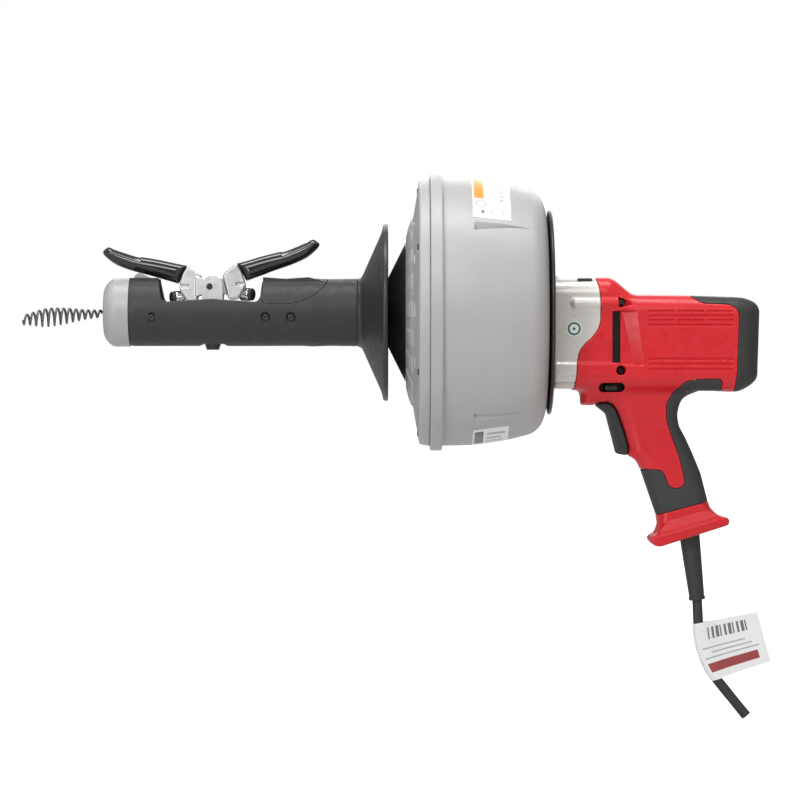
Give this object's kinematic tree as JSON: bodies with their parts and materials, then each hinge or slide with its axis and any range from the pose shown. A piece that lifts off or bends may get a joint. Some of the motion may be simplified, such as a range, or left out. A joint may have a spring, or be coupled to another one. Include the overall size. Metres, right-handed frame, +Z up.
{
  "type": "drain snake machine",
  "caption": "Hand-held powered drain snake: pistol-grip motor unit turning a cable drum, with a swivelling front grip whose levers feed the cable.",
  "frame": {"origin": "on the cable axis, at the rear face of the nose cap, where the guide collar's seat ends", "axes": "+X runs back along the cable axis to the motor, +Z is up, and -Y is the tool's left side"},
  "size_m": [0.6591, 0.243, 0.479],
  "materials": {
    "red_plastic": "moulded, satin",
    "charcoal_plastic": "fine moulded grain",
    "grip_rubber": "soft overmould, fine grain",
    "champagne_paint": "satin painted casting",
    "cast_alloy": "tumbled casting",
    "dark_steel": "black oxide",
    "black_plastic": "moulded, semi-matte",
    "bright_steel": "ground",
    "lamination_steel": "stacked laminations",
    "copper": "enamelled copper",
    "brass": "turned",
    "carbon": "pressed carbon",
    "black_rubber": "extruded, semi-matte",
    "tag_paper": "coated paper",
    "drum_grey": "moulded, satin",
    "inner_grey": "moulded",
    "cable_steel": "oiled spring steel",
    "nose_grey": "moulded, satin",
    "black_vinyl": "dipped vinyl, glossy",
    "chrome_steel": "hard chrome"
  },
  "bodies": {
    "motor_unit": {"left_motor_shell": "red_plastic", "right_motor_shell": "red_plastic", "rear_motor_cap": "charcoal_plastic", "handle_sleeve": "grip_rubber", "gearbox_housing": "champagne_paint", "gearbox_cover": "cast_alloy", "gearbox_screws": "dark_steel", "shell_screws": "dark_steel", "rear_guard": "black_plastic", "bearing_outer_race": "bright_steel", "motor_field": "lamination_steel", "field_windings": "copper", "rotor_bearings": "bright_steel", "brush_holders": "brass", "carbon_brushes": "carbon", "gearbox_bushes": "brass", "switch_module": "black_plastic", "strain_relief": "black_rubber", "power_cord": "black_rubber", "cord_tag": "tag_paper"},
    "drum": {"drum_front": "drum_grey", "drum_rear": "drum_grey", "drum_screws": "dark_steel", "inner_drum": "inner_grey", "cable_coil": "cable_steel", "front_cone": "black_plastic", "spindle": "bright_steel", "output_gear": "bright_steel", "bearing_inner_and_balls": "bright_steel"},
    "cable": {"cable_lead": "cable_steel", "bulb_auger": "cable_steel"},
    "countershaft": {"countershaft": "bright_steel", "countershaft_gear": "bright_steel"},
    "rotor": {"rotor_shaft": "bright_steel", "armature_core": "lamination_steel", "armature_windings": "copper", "commutator": "copper", "cooling_fan": "inner_grey"},
    "front_grip": {"left_grip_shell": "charcoal_plastic", "right_grip_shell": "charcoal_plastic", "grip_top_cover": "charcoal_plastic", "nose_cap": "nose_grey", "hand_guard": "black_plastic", "grip_screws": "dark_steel", "grip_bearing": "brass", "feed_block": "cast_alloy", "lever_bracket": "cast_alloy", "pivot_pin": "dark_steel", "feed_block_bolt": "dark_steel", "lever_spring": "dark_steel"},
    "advance_lever": {"advance_lever": "cast_alloy", "advance_lever_grip": "black_vinyl"},
    "retract_lever": {"retract_lever": "cast_alloy", "retract_lever_grip": "black_vinyl"},
    "advance_roller": {"advance_roller": "chrome_steel"},
    "retract_roller": {"retract_roller": "chrome_steel"},
    "front_idler": {"front_idler": "chrome_steel"},
    "rear_idler": {"rear_idler": "chrome_steel"},
    "trigger": {"trigger": "black_plastic"},
    "reverse_switch": {"reverse_switch": "black_plastic"}
  },
  "joints": [
    {"name": "drum_spin", "type": "hinge", "parent": "motor_unit", "child": "drum", "pos_m": [0.38, 0, 0], "axis": [1, 0, 0], "continuous": true},
    {"name": "countershaft_spin", "type": "hinge", "parent": "motor_unit", "child": "countershaft", "pos_m": [0.395, 0.01835, -0.02115], "axis": [1, 0, 0], "continuous": true},
    {"name": "rotor_spin", "type": "hinge", "parent": "motor_unit", "child": "rotor", "pos_m": [0.47, 0, -0.025], "axis": [1, 0, 0], "continuous": true},
    {"name": "cable_feed", "type": "slide", "parent": "drum", "child": "cable", "axis": [-1, 0, 0], "range_m": [0, 0.1]},
    {"name": "grip_swivel", "type": "hinge", "parent": "motor_unit", "child": "front_grip", "pos_m": [0.194, 0, 0], "axis": [1, 0, 0], "continuous": true},
    {"name": "advance_press", "type": "hinge", "parent": "front_grip", "child": "advance_lever", "pos_m": [0.07, 0, 0.0225], "axis": [0, -1, 0], "range_deg": [-4.3, 5.5]},
    {"name": "retract_press", "type": "hinge", "parent": "front_grip", "child": "retract_lever", "pos_m": [0.07, 0, 0.0225], "axis": [0, 1, 0], "range_deg": [0, 9.8]},
    {"name": "advance_roller_spin", "type": "hinge", "parent": "advance_lever", "child": "advance_roller", "pos_m": [0.04241, 0, 0.01353], "axis": [0.9023, 0.4134, 0.122], "continuous": true},
    {"name": "retract_roller_spin", "type": "hinge", "parent": "retract_lever", "child": "retract_roller", "pos_m": [0.10134, 0, 0.01617], "axis": [-0.909, 0.4134, 0.054], "continuous": true},
    {"name": "front_idler_spin", "type": "hinge", "parent": "front_grip", "child": "front_idler", "pos_m": [0.042, 0, -0.01012], "axis": [0.9063, -0.4226, 0], "continuous": true},
    {"name": "rear_idler_spin", "type": "hinge", "parent": "front_grip", "child": "rear_idler", "pos_m": [0.101, 0, -0.01012], "axis": [0.9063, 0.4226, 0], "continuous": true},
    {"name": "trigger_pull", "type": "slide", "parent": "motor_unit", "child": "trigger", "axis": [0.9693, 0, 0.2458], "range_m": [0, 0.0062], "stiffness_N_per_m": 400, "springref_m": -0.004},
    {"name": "direction_select", "type": "slide", "parent": "motor_unit", "child": "reverse_switch", "axis": [1, 0, 0], "range_m": [-0.0035, 0.0035]}
  ],
  "couplings": [
    {"joint": "countershaft_spin", "follows": "drum_spin", "ratio": -4.6},
    {"joint": "rotor_spin", "follows": "drum_spin", "ratio": 18.4}
  ]
}
